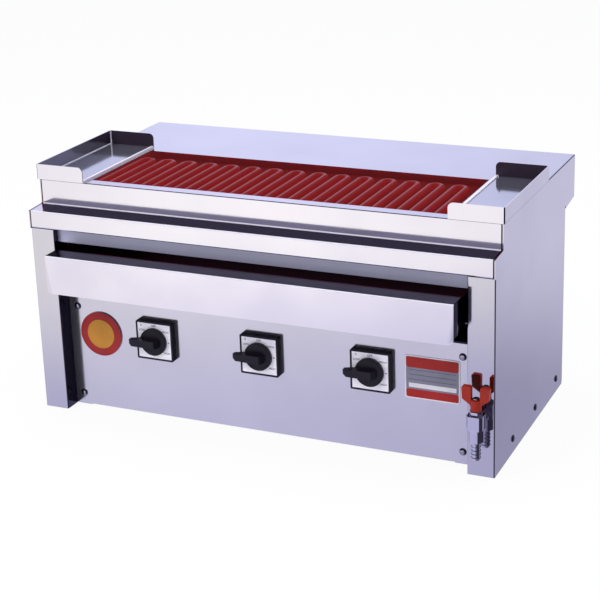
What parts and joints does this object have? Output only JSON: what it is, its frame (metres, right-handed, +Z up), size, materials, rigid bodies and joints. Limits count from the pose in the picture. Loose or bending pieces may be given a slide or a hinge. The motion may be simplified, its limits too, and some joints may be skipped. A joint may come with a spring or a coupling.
{
  "type": "electric yakitori grill",
  "caption": "Table-top electric grill for skewers: hairpin heaters in a stainless cabinet with a pull-out drip drawer, rotary switches, end trays and a drain cock.",
  "frame": {"origin": "on the table under the middle of the whole grill's bounding box", "axes": "+X to the right seen from the front, +Y to the rear, +Z up"},
  "size_m": [0.7552, 0.46, 0.394],
  "materials": {
    "polished_steel": "mirror polished stainless sheet",
    "inner_steel": "satin stainless, sooted inside",
    "heater_tube": "metal-sheathed tube, dull red hot",
    "ceramic": "unglazed ceramic",
    "link_brass": "plain",
    "black_plastic": "gloss",
    "grey_plastic": "matt",
    "dial_white": "satin",
    "shaft_steel": "turned",
    "red_handle": "gloss",
    "cock_chrome": "plated",
    "badge_enamel": "gloss, red ring and ochre middle",
    "plate_print": "printed fields without text",
    "screw_steel": "plain"
  },
  "bodies": {
    "cabinet": {"side_panel_left": "polished_steel", "side_panel_right": "polished_steel", "control_panel": "polished_steel", "header_rail": "polished_steel", "top_cover": "polished_steel", "front_fascia": "polished_steel", "base_plate": "inner_steel", "rear_panel": "inner_steel", "drain_pan": "inner_steel", "bay_wall_left": "inner_steel", "bay_wall_right": "inner_steel", "drawer_runner_left": "inner_steel", "drawer_runner_right": "inner_steel", "firebox_liner": "inner_steel", "support_bar_front": "inner_steel", "support_bar_rear": "inner_steel", "heating_elements": "heater_tube", "terminal_insulators": "ceramic", "terminal_links": "link_brass", "escutcheon_1": "black_plastic", "dial_plate_1": "dial_white", "switch_body_1": "grey_plastic", "escutcheon_2": "black_plastic", "dial_plate_2": "dial_white", "switch_body_2": "grey_plastic", "escutcheon_3": "black_plastic", "dial_plate_3": "dial_white", "switch_body_3": "grey_plastic", "emblem_disc": "badge_enamel", "rating_plate": "plate_print", "valve_body": "cock_chrome", "valve_bonnet": "cock_chrome", "outlet_nut": "cock_chrome", "hose_barb": "cock_chrome", "inlet_nut": "cock_chrome", "drain_pipe": "inner_steel", "terminal_block": "grey_plastic", "cable_gland": "black_plastic", "gland_nut": "black_plastic", "panel_screws": "screw_steel", "side_screws": "screw_steel", "rear_screws": "screw_steel"},
    "drawer": {"drawer_front": "polished_steel", "drawer_pan": "inner_steel"},
    "switch_knob_1": {"knob_1": "black_plastic", "knob_shaft_1": "shaft_steel"},
    "switch_knob_2": {"knob_2": "black_plastic", "knob_shaft_2": "shaft_steel"},
    "switch_knob_3": {"knob_3": "black_plastic", "knob_shaft_3": "shaft_steel"},
    "cock_handle": {"valve_plug": "cock_chrome", "valve_stem": "cock_chrome", "valve_handle": "red_handle", "handle_screw": "cock_chrome"},
    "left_tray": {"end_tray_left": "polished_steel"},
    "right_tray": {"end_tray_right": "polished_steel"}
  },
  "joints": [
    {"name": "drawer_slide", "type": "slide", "parent": "cabinet", "child": "drawer", "axis": [0, -1, 0], "range_m": [-0.037, 0.2]},
    {"name": "switch_1_turn", "type": "hinge", "parent": "cabinet", "child": "switch_knob_1", "pos_m": [-0.1775, -0.174, 0.1305], "axis": [0, 1, 0], "range_deg": [0, 225]},
    {"name": "switch_2_turn", "type": "hinge", "parent": "cabinet", "child": "switch_knob_2", "pos_m": [0.0015, -0.174, 0.1305], "axis": [0, 1, 0], "range_deg": [0, 225]},
    {"name": "switch_3_turn", "type": "hinge", "parent": "cabinet", "child": "switch_knob_3", "pos_m": [0.1805, -0.174, 0.1305], "axis": [0, 1, 0], "range_deg": [0, 225]},
    {"name": "cock_turn", "type": "hinge", "parent": "cabinet", "child": "cock_handle", "pos_m": [0.3545, -0.2125, 0.106], "axis": [0, 0, 1], "range_deg": [0, 90]},
    {"name": "left_tray_lift", "type": "slide", "parent": "cabinet", "child": "left_tray", "axis": [0, 0, 1], "range_m": [0, 0.06]},
    {"name": "right_tray_lift", "type": "slide", "parent": "cabinet", "child": "right_tray", "axis": [0, 0, 1], "range_m": [0, 0.06]}
  ]
}
